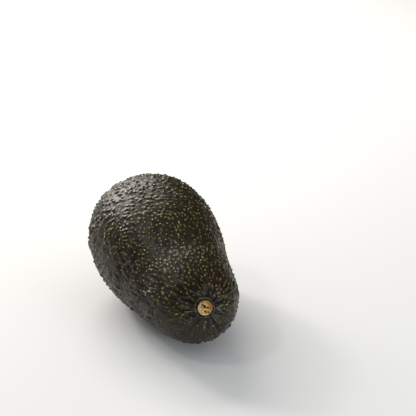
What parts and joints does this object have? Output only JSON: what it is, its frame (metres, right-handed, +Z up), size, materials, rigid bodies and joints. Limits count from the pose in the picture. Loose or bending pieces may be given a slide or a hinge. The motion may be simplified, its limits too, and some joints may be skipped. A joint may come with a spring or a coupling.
{
  "type": "avocado",
  "caption": "Whole dark pebbly-skinned avocado lying on its side, pear-shaped with a rounded neck and a round dried stem button set in the neck end.",
  "frame": {"origin": "centre of the bounding box's bottom, on the surface that the fruit rests on", "axes": "+Z up, +Y towards the round blossom end, -Y towards the neck and its stem button"},
  "size_m": [0.066, 0.1085, 0.0656],
  "materials": {
    "avocado_skin": "satin, pebbly, with small corky yellow-brown spots",
    "dried_stem": "dry, matt, cracked"
  },
  "bodies": {
    "root": {"fruit": "avocado_skin", "stem_button": "dried_stem"}
  },
  "joints": []
}
